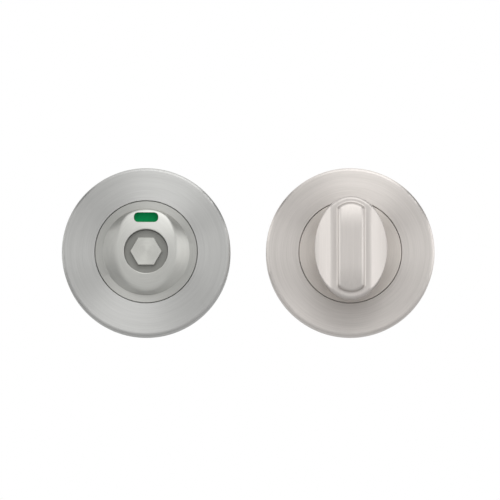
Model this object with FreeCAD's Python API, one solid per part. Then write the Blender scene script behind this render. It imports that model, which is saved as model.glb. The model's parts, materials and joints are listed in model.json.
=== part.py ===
import FreeCAD, Part
import math
import os

# Bathroom thumb turn lock: the outside release half and the inside thumb turn half, side by side.
# Each half is modelled about its own spindle axis, with the height above the door as +Z and the
# door's upward direction as +Y. place() then stands it on the door's face, with its front to -Y.

V = FreeCAD.Vector
ORIGIN = V(0, 0, 0)
UP = V(0, 0, 1)

# Rose cover and centre piece, the same on both halves
rose_margin = 3.2
rose_height = 8.0
rose_edge_radius = 1.0
cover_wall = 1.2
cover_corner_radius = 0.6
cover_hole_chamfer = 0.12
centre_ledge = 2.3
centre_gap = 0.18
centre_thickness = 1.5
halves_spacing = 62.9

# Cast base plate behind each cover
base_thickness = 2.5
base_rim_gap = 0.25
seat_thickness = 1.3
cover_seat_gap = 0.3
pedestal_wall = 2.1
boss_wall = 1.5
bearing_room = 1.5
relief_rim_width = 0.9
relief_boss_rim = 1.5
relief_depth = 0.9
fixing_pad_radius = 5.2
fixing_access = 0.4
column_radius = 2.8

# Snap ring that holds the cover on the base
snap_wire_radius = 0.5
snap_groove_play = 0.1
snap_bite = 0.2
snap_squeeze_room = 0.3
snap_gap_degrees = 40.0

# Housing screws, two in each half
screw_radius = 1.25
screw_head_radius = 2.2
screw_length = 5.0
screw_fit = 0.05
screw_tip_room = 0.3
screw_slot_width = 0.6
screw_slot_depth = 0.7
screw_edge_margin = 0.3

# Bearing of each rotor
journal_radius = 5.5
running_clearance = 0.05
axial_play = 0.1
bush_wall = 1.0
bush_flange_reach = 1.05
bush_flange_thickness = 0.6
journal_recess = 0.3
circlip_thickness = 0.8
circlip_groove_depth = 0.6
circlip_edge_land = 0.3
circlip_play = 0.03
circlip_band = 1.6
circlip_mouth_degrees = 56.0
circlip_ear_radius = 1.1
circlip_ear_hole_radius = 0.5
circlip_pocket_gap = 0.87
washer_thickness = 0.25
washer_bow = 0.25
washer_band = 1.2
washer_bore_gap = 0.2
washer_end_gap = 0.05

# Thumb turn
neck_radius = 6.9
neck_gap = 0.15
neck_step = 0.1
neck_length = 3.5
turn_overhang = 0.1
turn_width = 22.4
flare_height = 5.5
flare_sweep_degrees = 72.0
body_height = 6.4
crown_ledge = 1.9
wing_drop = 4.7
wing_bulge = 0.25
wing_blend_radius = 2.0
turn_rim_radius = 1.0
grip_height = 2.7
grip_end_ledge = 2.2
grip_width = 8.0
grip_end_bulge = 1.6
grip_roll_length = 8.0
grip_roll_drop = 1.2
grip_edge_radius = 1.1
grip_corner_step = 0.3
grip_root_radius = 0.7

# Spindle and its grub screw
spindle_across = 5.0
spindle_fit = 0.05
spindle_reach = 48.0
spindle_grip = 4.0
spindle_end_gap = 0.3
spindle_chamfer = 0.5
grub_radius = 1.5
grub_sink = 0.5
grub_fit = 0.05
grub_hex_across = 1.5
grub_hex_depth = 1.2

# Release housing: a round boss with an oval front, a window and a round recess
dome_height = 2.95
dome_wall = 0.6
dome_swell = 0.45
front_side_ledge = 4.0
front_overrun = 0.3
front_shift = 1.3
front_draft = 0.3
front_sag = 0.45
front_corner_sharpness = 24.0
front_edge_radius = 0.7
section_points = 40
roof_rise = 0.2
roof_corner = 0.5
recess_radius = 6.75
recess_edge_radius = 0.2
window_width = 7.5
window_height = 3.05
window_end_flat = 0.45
window_recess_land = 2.25
window_rim_land = 1.35
window_chamfer = 0.15
stop_lug_width = 2.0
stop_lug_reach = 1.6

# Release hub: hexagon, collar and journal in one turned piece
hex_across = 8.5
hex_sink = 0.45
hex_edge_chamfer = 0.15
recess_depth = 2.45
collar_gap = 0.12
hub_floor = 1.6
key_width = 1.6
key_reach = 0.9
key_fit = 0.05

# Indicator disc and its two coloured labels
disc_thickness = 0.7
disc_rim_gap = 0.25
disc_collar_gap = 0.45
disc_dish_width = 1.0
disc_roof_gap = 0.25
label_thickness = 0.15
label_rim_margin = 0.15
label_half_angle = 42.0
notch_gap = 0.15
stop_margin_degrees = 6.5
turn_range_degrees = 90.0

# Through bolts of the inside half and threaded posts of the outside half
fixing_offset = 19.0
bolt_radius = 2.0
bolt_hole_gap = 0.2
bolt_head_radius = 3.8
bolt_length = 40.0
bolt_tip_chamfer = 0.5
bolt_neck_radius = 1.75
bolt_neck_reach = 6.0
bolt_seat_fit = 0.03
cross_width = 0.9
cross_span = 4.2
cross_depth = 1.4
post_radius = 3.0
post_reach = 19.5
post_hole_radius = 1.65
post_hole_depth = 18.0
post_spigot_radius = 2.4
post_head_radius = 3.8
post_head_thickness = 0.9
post_fit = 0.03

# Radii and heights of the cover and the centre piece
dome_radius = recess_radius + window_recess_land + window_height + window_rim_land
centre_radius = dome_radius + centre_ledge
rose_radius = fixing_offset + bolt_head_radius + rose_margin
cover_inner_radius = rose_radius - cover_wall
cover_hole_radius = centre_radius + centre_gap
cover_ceiling = rose_height - cover_wall
seat_top = cover_ceiling - cover_seat_gap
seat_bottom = seat_top - seat_thickness
cavity_radius = dome_radius - dome_wall
pedestal_radius = cavity_radius + pedestal_wall
screw_offset = centre_radius + screw_head_radius + screw_edge_margin
screw_tip = seat_top - screw_length

# Snap ring and its two grooves
base_radius = cover_inner_radius - base_rim_gap
snap_level = base_thickness / 2
snap_ring_radius = cover_inner_radius + snap_bite - snap_wire_radius
snap_floor_radius = snap_ring_radius - snap_wire_radius - snap_squeeze_room
snap_groove_half = snap_wire_radius + snap_groove_play

# Bearing, from the circlip at the back to the rotor's shoulder at the front
circlip_bottom = journal_recess + circlip_edge_land
circlip_top = circlip_bottom + circlip_thickness
circlip_inner_radius = journal_radius - circlip_groove_depth + circlip_play
washer_crest = circlip_top + washer_end_gap + washer_bow + washer_thickness
pocket_depth = washer_crest + washer_end_gap
pocket_radius = circlip_inner_radius + 2 * circlip_ear_radius + circlip_pocket_gap
boss_radius = pocket_radius + boss_wall
bush_bore = journal_radius + running_clearance
bush_radius = bush_bore + bush_wall
bush_top = rose_height - centre_thickness - bearing_room
boss_height = bush_top - bush_flange_thickness
shoulder_level = bush_top + axial_play

# Thumb turn and its spindle
neck_top = rose_height + neck_length
flare_top = neck_top + flare_height
crown_level = flare_top + body_height
grip_top = crown_level + grip_height
turn_length = 2 * (centre_radius + turn_overhang)
grip_length = turn_length - 2 * grip_end_ledge
grip_corner_radius = grip_edge_radius + grip_corner_step
crown_half_width = grip_width / 2 + crown_ledge
socket_width = spindle_across + 2 * spindle_fit
socket_level = neck_top + spindle_grip
grub_level = rose_height + neck_length / 2

# Release housing, hub and indicator disc
dome_top = rose_height + dome_height
front_half_width = dome_radius - front_side_ledge
front_half_length = dome_radius + front_overrun
window_offset = recess_radius + window_recess_land + window_height / 2
window_corner_radius = (window_height - window_end_flat) / 2
roof_level = rose_height + roof_rise
collar_radius = recess_radius - collar_gap
collar_front = dome_top - recess_depth
collar_back = shoulder_level + disc_thickness
hex_front = dome_top - hex_sink
hub_socket_level = collar_front - hub_floor
disc_radius = cavity_radius - disc_rim_gap
disc_top = roof_level - disc_roof_gap - label_thickness
disc_low = disc_top - disc_thickness
disc_inset = disc_thickness * math.tan(math.atan2(disc_low - shoulder_level, disc_dish_width) / 2)
disc_dish_start = collar_radius + disc_collar_gap + disc_inset
disc_dish_end = disc_dish_start + disc_dish_width
bolt_tip = base_thickness - bolt_length

# Two sizes no further apart than this count as the same
near = 1e-3


def line(a, b):
    """Straight edge between two (radius, height) points of a profile."""
    return Part.LineSegment(V(a[0], 0, a[1]), V(b[0], 0, b[1])).toShape()


def bulged(a, b, bulge):
    """Arc from a to b that stands out by bulge from the middle of its chord, on the chord's left."""
    dx, dz = b[0] - a[0], b[1] - a[1]
    span = math.hypot(dx, dz)
    middle = V((a[0] + b[0]) / 2 - dz / span * bulge, 0, (a[1] + b[1]) / 2 + dx / span * bulge)
    return Part.Arc(V(a[0], 0, a[1]), middle, V(b[0], 0, b[1])).toShape()


def quarter(centre, radius):
    """Rounded outer corner of a profile, from straight outward to straight upward."""
    side = V(centre[0] + radius, 0, centre[1])
    middle = V(centre[0] + radius * math.sqrt(0.5), 0, centre[1] + radius * math.sqrt(0.5))
    top = V(centre[0], 0, centre[1] + radius)
    return Part.Arc(side, middle, top).toShape()


def outline(points):
    """Closed face in the X-Z plane through (radius, height) points."""
    closed = [V(r, 0, z) for r, z in points + points[:1]]
    return Part.Face(Part.makePolygon(closed))


def spun(face, degrees=360.0):
    """Solid made by turning a profile about the axis."""
    return face.revolve(ORIGIN, UP, degrees)


def tube(inner, outer, bottom, top):
    """Round ring about the axis."""
    return spun(outline([(inner, bottom), (outer, bottom), (outer, top), (inner, top)]))


def rod(radius, bottom, top, x=0.0, y=0.0):
    """Upright cylinder."""
    return Part.makeCylinder(radius, top - bottom, V(x, y, bottom))


def block(width, depth, bottom, top, x=0.0, y=0.0):
    """Upright box centred on x and y."""
    return Part.makeBox(width, depth, top - bottom, V(x - width / 2, y - depth / 2, bottom))


def sector(inner, outer, bottom, top, start_degrees, end_degrees):
    """Part of a ring between two angles, counted from +X towards +Y."""
    face = outline([(inner, bottom), (outer, bottom), (outer, top), (inner, top)])
    piece = spun(face, end_degrees - start_degrees)
    piece.rotate(ORIGIN, UP, start_degrees)
    return piece


def hexagon(across, bottom, top):
    """Upright hexagonal bar with two of its flats square to Y."""
    reach = across / math.sqrt(3)
    turns = [math.radians(60 * i) for i in range(7)]
    points = [V(reach * math.cos(turn), reach * math.sin(turn), bottom) for turn in turns]
    return Part.Face(Part.makePolygon(points)).extrude(V(0, 0, top - bottom))


def moved(shape, x=0.0, y=0.0, z=0.0):
    """Copy of a shape at another place."""
    copy = shape.copy()
    copy.translate(V(x, y, z))
    return copy


def united(first, others):
    """One solid from several, without seams between faces that run on."""
    return first.multiFuse(others).removeSplitter()


def upright_edges(shape):
    """Straight edges that run along the height."""
    found = []
    for edge in shape.Edges:
        box = edge.BoundBox
        if box.XLength + box.YLength < near:
            found.append(edge)
    return found


def edges_at_level(shape, level):
    """Edges that lie flat at one height."""
    return [e for e in shape.Edges if e.BoundBox.ZMin > level - near and e.BoundBox.ZMax < level + near]


def circles_of(edges, radius):
    """Those edges that are circles of one radius about the axis."""
    found = []
    for edge in edges:
        curve = edge.Curve
        if isinstance(curve, Part.Circle) and abs(curve.Radius - radius) < near:
            if math.hypot(curve.Center.x, curve.Center.y) < near:
                found.append(edge)
    return found


def countersunk(shank, head, top):
    """Cone of a countersunk head that meets its shank at 45 degrees."""
    depth = head - shank
    return Part.makeCone(shank, head, depth, V(0, 0, top - depth))


def rose_cover():
    """Turned cover: flat face with a round hole, a rounded front edge and a skirt with a groove."""
    edge = rose_edge_radius
    corner = cover_corner_radius
    chamfer = cover_hole_chamfer
    skin = spun(Part.Face(Part.Wire([
        line((rose_radius, 0), (rose_radius, rose_height - edge)),
        quarter((rose_radius - edge, rose_height - edge), edge),
        line((rose_radius - edge, rose_height), (cover_hole_radius + chamfer, rose_height)),
        line((cover_hole_radius + chamfer, rose_height), (cover_hole_radius, rose_height - chamfer)),
        line((cover_hole_radius, rose_height - chamfer), (cover_hole_radius, cover_ceiling)),
        line((cover_hole_radius, cover_ceiling), (cover_inner_radius - corner, cover_ceiling)),
        quarter((cover_inner_radius - corner, cover_ceiling - corner), corner),
        line((cover_inner_radius, cover_ceiling - corner), (cover_inner_radius, 0)),
        line((cover_inner_radius, 0), (rose_radius, 0)),
    ])))
    groove = tube(base_radius, snap_ring_radius + snap_groove_half,
                  snap_level - snap_groove_half, snap_level + snap_groove_half)
    return skin.cut(groove)


def base_plate():
    """Cast base: rim, bearing boss, pedestal ring and screw columns over a hollowed back."""
    columns = [rod(column_radius, 0, seat_bottom, x=side * screw_offset) for side in (-1, 1)]
    pedestal = tube(cavity_radius, pedestal_radius, 0, seat_bottom)
    boss = rod(boss_radius, 0, boss_height)
    solid = united(rod(base_radius, 0, base_thickness), [boss, pedestal] + columns)
    relief = tube(boss_radius + relief_boss_rim, snap_floor_radius - relief_rim_width, 0, relief_depth)
    for side in (-1, 1):
        relief = relief.cut(rod(fixing_pad_radius, 0, relief_depth, y=side * fixing_offset))
        relief = relief.cut(rod(column_radius, 0, relief_depth, x=side * screw_offset))
    solid = solid.cut(relief)
    solid = solid.cut(tube(snap_floor_radius, rose_radius,
                           snap_level - snap_groove_half, snap_level + snap_groove_half))
    solid = solid.cut(rod(bush_radius, 0, boss_height))
    solid = solid.cut(rod(pocket_radius, 0, pocket_depth))
    access = bolt_head_radius + fixing_access
    for side in (-1, 1):
        hole = rod(screw_radius, screw_tip - screw_tip_room, seat_bottom, x=side * screw_offset)
        solid = solid.cut(hole)
        solid = solid.cut(rod(access, base_thickness, seat_bottom, y=side * fixing_offset))
    return solid


def turn_base():
    """Base of the inside half, with countersunk holes for the through bolts."""
    seat = countersunk(bolt_neck_radius + bolt_seat_fit, bolt_head_radius + bolt_seat_fit, base_thickness)
    hole = rod(bolt_radius + bolt_hole_gap, 0, base_thickness).fuse(seat)
    solid = base_plate()
    for side in (-1, 1):
        solid = solid.cut(moved(hole, y=side * fixing_offset))
    return solid


def release_base():
    """Base of the outside half, with plain holes for the threaded posts."""
    solid = base_plate()
    for side in (-1, 1):
        hole = rod(post_spigot_radius + post_fit, 0, base_thickness, y=side * fixing_offset)
        solid = solid.cut(hole)
    return solid


def with_seat_flange(centre_piece):
    """Joins a centre piece to the flange below it, which has a screw ear at each side."""
    ears = [rod(column_radius, seat_bottom, seat_top, x=side * screw_offset) for side in (-1, 1)]
    bridge = block(2 * screw_offset, 2 * column_radius, seat_bottom, seat_top)
    flange = rod(pedestal_radius, seat_bottom, seat_top)
    solid = united(centre_piece, [flange, bridge] + ears)
    shank = screw_radius + screw_fit
    hole = rod(shank, seat_bottom, seat_top)
    hole = hole.fuse(countersunk(shank, screw_head_radius + screw_fit, seat_top))
    for side in (-1, 1):
        solid = solid.cut(moved(hole, x=side * screw_offset))
    return solid


def turn_centre_plate():
    """Flat centre plate of the inside half, with the bore for the thumb turn's neck."""
    chamfer = cover_hole_chamfer
    plate = spun(outline([
        (0, seat_top), (centre_radius, seat_top), (centre_radius, rose_height - chamfer),
        (centre_radius - chamfer, rose_height), (0, rose_height),
    ]))
    solid = with_seat_flange(plate)
    solid = solid.cut(rod(cavity_radius, seat_bottom, rose_height - centre_thickness))
    return solid.cut(rod(neck_radius + neck_gap, seat_bottom, rose_height))


def front_reach(turn):
    """Distance from the axis to the front's outline: an oval, cut off at the top just inside the foot."""
    across, up = math.cos(turn) / front_half_width, math.sin(turn) / front_half_length
    shift = front_shift / front_half_length
    squared = across ** 2 + up ** 2
    oval_reach = (up * shift + math.sqrt((up * shift) ** 2 + squared * (1 - shift ** 2))) / squared
    foot_reach = dome_radius - front_draft
    blend = front_corner_sharpness
    return (oval_reach ** -blend + foot_reach ** -blend) ** (-1 / blend)


def dome_section(share):
    """Outline of the housing's slope, from its round foot at 0 to its oval front at 1."""
    level = rose_height + (dome_top - rose_height) * (share + dome_swell * share * (1 - share))
    points = []
    for i in range(section_points):
        turn = 2 * math.pi * i / section_points
        reach = dome_radius + (front_reach(turn) - dome_radius) * share
        points.append(V(reach * math.cos(turn), reach * math.sin(turn), level))
    curve = Part.BSplineCurve()
    curve.interpolate(points, PeriodicFlag=True)
    return Part.Wire([curve.toShape()])


def housing_dome():
    """Swelling slope from a round foot on the rose up to the oval front, which is slightly crowned."""
    dome = Part.makeLoft([dome_section(share) for share in (0, 0.25, 0.5, 0.75, 1)], True, False)
    bend = (dome_radius ** 2 + front_sag ** 2) / (2 * front_sag)
    dome = dome.common(Part.makeSphere(bend, V(0, 0, dome_top - bend)))
    rim = [edge for edge in dome.Edges if on_front_rim(edge)]
    return dome.makeFillet(front_edge_radius, rim)


def on_front_rim(edge):
    """Whether an edge of the dome is part of the oval front's rim."""
    return edge.BoundBox.ZMin > rose_height and edge.BoundBox.XLength > front_half_width


def release_housing():
    """Domed housing with the indicator window, the recess for the hexagon and a stop lug inside."""
    chamfer = cover_hole_chamfer
    plate = spun(outline([
        (0, seat_top), (centre_radius, seat_top), (centre_radius, rose_height - chamfer),
        (centre_radius - chamfer, rose_height), (0, rose_height),
    ]))
    solid = with_seat_flange(united(plate, [housing_dome()]))
    cavity = spun(outline([
        (0, seat_bottom), (cavity_radius, seat_bottom), (cavity_radius, roof_level - roof_corner),
        (cavity_radius - roof_corner, roof_level), (0, roof_level),
    ]))
    lug = block(stop_lug_width, 2 * stop_lug_reach, seat_top, dome_top, y=-cavity_radius)
    solid = solid.cut(cavity.cut(lug))
    solid = solid.cut(rod(recess_radius, roof_level, dome_top))
    rim = [edge for edge in circles_of(solid.Edges, recess_radius) if edge.BoundBox.ZMin > rose_height]
    solid = solid.makeFillet(recess_edge_radius, rim)
    window = block(window_width, window_height, roof_level - roof_corner, dome_top, y=window_offset)
    solid = solid.cut(window.makeFillet(window_corner_radius, upright_edges(window)))
    return solid.makeChamfer(window_chamfer, [edge for edge in solid.Edges if on_window_rim(edge)])


def on_window_rim(edge):
    """Whether an edge is part of the window's front rim."""
    box = edge.BoundBox
    inside = max(-box.XMin, box.XMax) < window_width / 2 + near
    beside = abs((box.YMin + box.YMax) / 2 - window_offset) < window_height / 2 + near
    return inside and beside and box.ZMin > roof_level + dome_height / 2


def bush():
    """Flanged bush between a base and its rotor."""
    sleeve = tube(bush_bore, bush_radius, pocket_depth, boss_height)
    flange = tube(bush_bore, bush_radius + bush_flange_reach, boss_height, bush_top)
    return united(sleeve, [flange])


def journal(top):
    """Bearing journal of a rotor, with its circlip groove and a chamfered rear end."""
    shaft = rod(journal_radius, journal_recess, top)
    shaft = shaft.makeChamfer(circlip_edge_land / 2, edges_at_level(shaft, journal_recess))
    groove = tube(journal_radius - circlip_groove_depth, journal_radius + circlip_groove_depth,
                  circlip_bottom - circlip_play, circlip_top + circlip_play)
    return shaft.cut(groove)


def circlip():
    """Open retaining ring with two eared ends."""
    half_mouth = circlip_mouth_degrees / 2
    ring = sector(circlip_inner_radius, circlip_inner_radius + circlip_band,
                  circlip_bottom, circlip_top, half_mouth - 90, 270 - half_mouth)
    reach = circlip_inner_radius + circlip_ear_radius
    for side in (-1, 1):
        turn = math.radians(270 + side * half_mouth)
        x, y = reach * math.cos(turn), reach * math.sin(turn)
        ring = united(ring, [rod(circlip_ear_radius, circlip_bottom, circlip_top, x, y)])
        ring = ring.cut(rod(circlip_ear_hole_radius, circlip_bottom, circlip_top, x, y))
    return ring


def spring_washer():
    """Washer bowed about one axis, between the circlip and the floor of the base's rear pocket."""
    inner = journal_radius + washer_bore_gap
    outer = inner + washer_band
    bend = outer ** 2 / (2 * washer_bow)
    start = V(0, -2 * outer, washer_crest - washer_thickness - bend)
    outside = Part.makeCylinder(bend + washer_thickness, 4 * outer, start, V(0, 1, 0))
    inside = Part.makeCylinder(bend, 4 * outer, start, V(0, 1, 0))
    ring = tube(inner, outer, circlip_top, washer_crest + washer_thickness)
    return ring.common(outside).cut(inside)


def snap_ring():
    """Open ring of round wire in the groove of the base's rim."""
    wire = Part.Circle(V(snap_ring_radius, 0, snap_level), V(0, 1, 0), snap_wire_radius)
    ring = spun(Part.Face(Part.Wire([wire.toShape()])), 360 - snap_gap_degrees)
    ring.rotate(ORIGIN, UP, snap_gap_degrees / 2 - 90)
    return ring


def housing_screw(side):
    """Countersunk slotted screw that holds a centre piece on its base, left or right of the axis."""
    screw = rod(screw_radius, screw_tip, seat_top)
    screw = united(screw, [countersunk(screw_radius, screw_head_radius, seat_top)])
    slot = block(2 * screw_head_radius, screw_slot_width, seat_top - screw_slot_depth, seat_top)
    return moved(screw.cut(slot), x=side * screw_offset)


def oval(width, length, level):
    """Flat ellipse about the axis, with its length along Y."""
    curve = Part.Ellipse(V(0, 0, level), length / 2, width / 2)
    wire = Part.Wire([curve.toShape()])
    wire.rotate(ORIGIN, UP, 90)
    return wire


def turn_flare():
    """Underside of the thumb turn, swelling in an arc from its neck to its oval body."""
    steps = 4
    sweep = math.radians(flare_sweep_degrees)
    neck = 2 * (neck_radius + neck_step)
    sections = []
    for i in range(steps + 1):
        turn = sweep * i / steps
        out = (1 - math.cos(turn)) / (1 - math.cos(sweep))
        up = math.sin(turn) / math.sin(sweep)
        width = neck + (turn_width - neck) * out
        length = neck + (turn_length - neck) * out
        sections.append(oval(width, length, neck_top + flare_height * up))
    return Part.makeLoft(sections, True, False)


def turn_body():
    """Oval body on its flare: a level crown along the middle that falls to a wing on each side."""
    half = turn_width / 2
    wing_level = crown_level - wing_drop
    sky = crown_level + wing_drop
    air = Part.Face(Part.Wire([
        line((0, crown_level), (crown_half_width, crown_level)),
        bulged((crown_half_width, crown_level), (half, wing_level), wing_bulge),
        line((half, wing_level), (2 * half, wing_level)),
        line((2 * half, wing_level), (2 * half, sky)),
        line((2 * half, sky), (0, sky)),
        line((0, sky), (0, crown_level)),
    ])).extrude(V(0, 2 * turn_length, 0))
    air.translate(V(0, -turn_length, 0))
    body = Part.Face(oval(turn_width, turn_length, flare_top)).extrude(V(0, 0, crown_level - flare_top))
    body = body.fuse(turn_flare())
    body = body.cut(air).cut(air.mirror(ORIGIN, V(1, 0, 0))).removeSplitter()
    ridges = [e for e in edges_at_level(body, crown_level) if e.BoundBox.XLength < near]
    body = body.makeFillet(wing_blend_radius, ridges)
    return body.makeFillet(turn_rim_radius, [e for e in body.Edges if on_turn_rim(e)])


def on_turn_rim(edge):
    """Whether an edge lies on the oval wall, above the flare, all along."""
    if edge.BoundBox.ZMin < flare_top + near:
        return False
    span = edge.LastParameter - edge.FirstParameter
    for share in (0, 0.5, 1):
        point = edge.valueAt(edge.FirstParameter + span * share)
        reach = (2 * point.x / turn_width) ** 2 + (2 * point.y / turn_length) ** 2
        if abs(reach - 1) > near:
            return False
    return True


def grip():
    """Upright grip bar with bowed ends, rolled over towards both ends and rounded along its top."""
    half_width, half_length = grip_width / 2, grip_length / 2
    shoulder = half_length - grip_end_bulge
    corners = [V(x * half_width, y * shoulder, crown_level) for x, y in ((-1, 1), (1, 1), (1, -1), (-1, -1))]
    bar = Part.Face(Part.Wire([
        Part.Arc(corners[0], V(0, half_length, crown_level), corners[1]).toShape(),
        Part.LineSegment(corners[1], corners[2]).toShape(),
        Part.Arc(corners[2], V(0, -half_length, crown_level), corners[3]).toShape(),
        Part.LineSegment(corners[3], corners[0]).toShape(),
    ])).extrude(V(0, 0, grip_height))
    bar = bar.makeFillet(grip_corner_radius, upright_edges(bar))
    bend = (grip_roll_length ** 2 + grip_roll_drop ** 2) / (2 * grip_roll_drop)
    for side in (-1, 1):
        start = side * (half_length - grip_roll_length)
        roller = Part.makeCylinder(bend, 2 * grip_width, V(-grip_width, start, grip_top - bend), V(1, 0, 0))
        end = block(2 * grip_width, 2 * grip_roll_length, crown_level + near, grip_top + grip_height,
                    y=start + side * grip_roll_length)
        bar = bar.cut(end.cut(roller))
    top = []
    for edge in bar.Edges:
        box = edge.BoundBox
        seam = box.YLength < near
        if box.ZMin > crown_level + 2 * near and box.ZLength < grip_roll_drop and not seam:
            top.append(edge)
    return bar.makeFillet(grip_edge_radius, top)


def thumb_turn():
    """Thumb turn: journal, round neck, flared oval body with sloping wings, and the upright grip."""
    body = turn_body().fuse(grip()).removeSplitter()
    root = [e for e in edges_at_level(body, crown_level) if in_grip_plan(e)]
    body = body.makeFillet(grip_root_radius, root)
    neck = rod(neck_radius, shoulder_level, neck_top)
    body = united(body, [neck, journal(shoulder_level)])
    body = body.cut(block(socket_width, socket_width, journal_recess, socket_level))
    bore = Part.makeCylinder(grub_radius + grub_fit, 2 * neck_radius, V(0, 0, grub_level), V(0, -1, 0))
    return body.cut(bore)


def in_grip_plan(edge):
    """Whether an edge lies within the outline of the grip."""
    box = edge.BoundBox
    across = max(-box.XMin, box.XMax) < grip_width / 2 + near
    along = max(-box.YMin, box.YMax) < grip_length / 2 + near
    return across and along


def spindle():
    """Square spindle from its socket in the thumb turn back through the door."""
    front = socket_level - spindle_end_gap
    bar = block(spindle_across, spindle_across, -spindle_reach, front)
    ends = edges_at_level(bar, -spindle_reach) + edges_at_level(bar, front)
    return bar.makeChamfer(spindle_chamfer, ends)


def grub_screw():
    """Headless screw with a hexagon socket, from the neck's underside down to the spindle."""
    tip = spindle_across / 2
    length = neck_radius - grub_sink - tip
    screw = Part.makeCylinder(grub_radius, length, V(0, -tip, grub_level), V(0, -1, 0))
    socket = hexagon(grub_hex_across, 0, grub_hex_depth)
    socket.rotate(ORIGIN, V(1, 0, 0), -90)
    return screw.cut(moved(socket, y=-tip - length, z=grub_level))


def key(reach, width, bottom, top):
    """Key that stands out of a journal at its upper side, with as much again inside it."""
    return block(width, 2 * reach, bottom, top, y=journal_radius)


def release_hub():
    """Turned hub: hexagon for a coin or key, collar, keyed journal and a square socket from behind."""
    hub = united(journal(collar_back), [
        rod(collar_radius, collar_back, collar_front),
        key(key_reach, key_width, shoulder_level, collar_back),
    ])
    head = hexagon(hex_across, collar_front, hex_front)
    head = head.makeChamfer(hex_edge_chamfer, edges_at_level(head, hex_front))
    hub = united(hub, [head])
    return hub.cut(block(socket_width, socket_width, journal_recess, hub_socket_level))


def indicator_disc():
    """Dished disc keyed to the hub, with a notch in its rim that the stop lug runs in."""
    bore = journal_radius + key_fit
    hub_top = shoulder_level + disc_thickness
    disc = spun(outline([
        (bore, shoulder_level), (disc_dish_start, shoulder_level), (disc_dish_end, disc_low),
        (disc_radius, disc_low), (disc_radius, disc_top), (disc_dish_end - disc_inset, disc_top),
        (disc_dish_start - disc_inset, hub_top), (bore, hub_top),
    ]))
    disc = disc.cut(key(key_reach + key_fit, key_width + 2 * key_fit, shoulder_level, hub_top))
    notch = sector(cavity_radius - stop_lug_reach - notch_gap, cavity_radius, disc_low, disc_top,
                   270 - turn_range_degrees - stop_margin_degrees, 270 + stop_margin_degrees)
    return disc.cut(notch)


def label(middle_degrees):
    """Coloured sector on the front of the indicator disc."""
    return sector(disc_dish_end, disc_radius - label_rim_margin, disc_top, disc_top + label_thickness,
                  middle_degrees - label_half_angle, middle_degrees + label_half_angle)


def through_bolt(side):
    """Countersunk bolt with a cross recess and a reduced neck, above or below the spindle."""
    thread_end = -bolt_neck_reach
    thread = rod(bolt_radius, bolt_tip, thread_end)
    thread = thread.makeChamfer(bolt_tip_chamfer, edges_at_level(thread, bolt_tip))
    neck = rod(bolt_neck_radius, thread_end, base_thickness)
    bolt = united(thread, [neck, countersunk(bolt_neck_radius, bolt_head_radius, base_thickness)])
    floor = base_thickness - cross_depth
    bolt = bolt.cut(block(cross_span, cross_width, floor, base_thickness))
    bolt = bolt.cut(block(cross_width, cross_span, floor, base_thickness))
    return moved(bolt, y=side * fixing_offset)


def fixing_post(side):
    """Post with a threaded hole from behind and a riveted spigot, above or below the hub's axis."""
    head = rod(post_head_radius, base_thickness, base_thickness + post_head_thickness)
    post = united(rod(post_radius, -post_reach, 0), [rod(post_spigot_radius, 0, base_thickness), head])
    post = post.cut(rod(post_hole_radius, -post_reach, post_hole_depth - post_reach))
    return moved(post, y=side * fixing_offset)


def place(shape, x=0.0):
    """Stands a shape of one half on the door's face and moves it along the door."""
    placed = shape.copy()
    placed.rotate(ORIGIN, V(1, 0, 0), 90)
    placed.translate(V(x, 0, 0))
    return placed


def export(name, shape, x=0.0):
    """Writes one piece to its own file."""
    place(shape, x).exportStep(f"parts/{name}.step")


def build_turn_half():
    """Inside half, about the thumb turn's axis."""
    export("turn_cover", rose_cover())
    export("turn_base", turn_base())
    export("turn_centre_plate", turn_centre_plate())
    export("turn_bush", bush())
    export("turn_snap_ring", snap_ring())
    export("turn_screw_left", housing_screw(-1))
    export("turn_screw_right", housing_screw(1))
    export("turn_bolt_upper", through_bolt(1))
    export("turn_bolt_lower", through_bolt(-1))
    export("thumb_turn", thumb_turn())
    export("spindle", spindle())
    export("grub_screw", grub_screw())
    export("turn_circlip", circlip())
    export("turn_spring_washer", spring_washer())


def build_release_half():
    """Outside half, beside the inside half."""
    x = -halves_spacing
    export("release_cover", rose_cover(), x)
    export("release_base", release_base(), x)
    export("release_housing", release_housing(), x)
    export("release_bush", bush(), x)
    export("release_snap_ring", snap_ring(), x)
    export("release_screw_left", housing_screw(-1), x)
    export("release_screw_right", housing_screw(1), x)
    export("release_post_upper", fixing_post(1), x)
    export("release_post_lower", fixing_post(-1), x)
    export("release_hub", release_hub(), x)
    export("indicator_disc", indicator_disc(), x)
    export("vacant_label", label(90), x)
    export("engaged_label", label(0), x)
    export("release_circlip", circlip(), x)
    export("release_spring_washer", spring_washer(), x)


if __name__ == "__main__":
    os.makedirs("parts", exist_ok=True)
    build_turn_half()
    build_release_half()
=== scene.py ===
"""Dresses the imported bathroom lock: two round brushed steel halves with their fixings."""
import json
import logging
import math
from collections.abc import Callable
from dataclasses import dataclass, field
from enum import Enum
from typing import Any

import bmesh
import bpy
from bmesh.types import BMEdge, BMesh, BMVert
from bpy.types import ID, Material, Mesh, Node, NodeSocket, NodeTree, Object
from mathutils import Matrix, Vector


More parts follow.
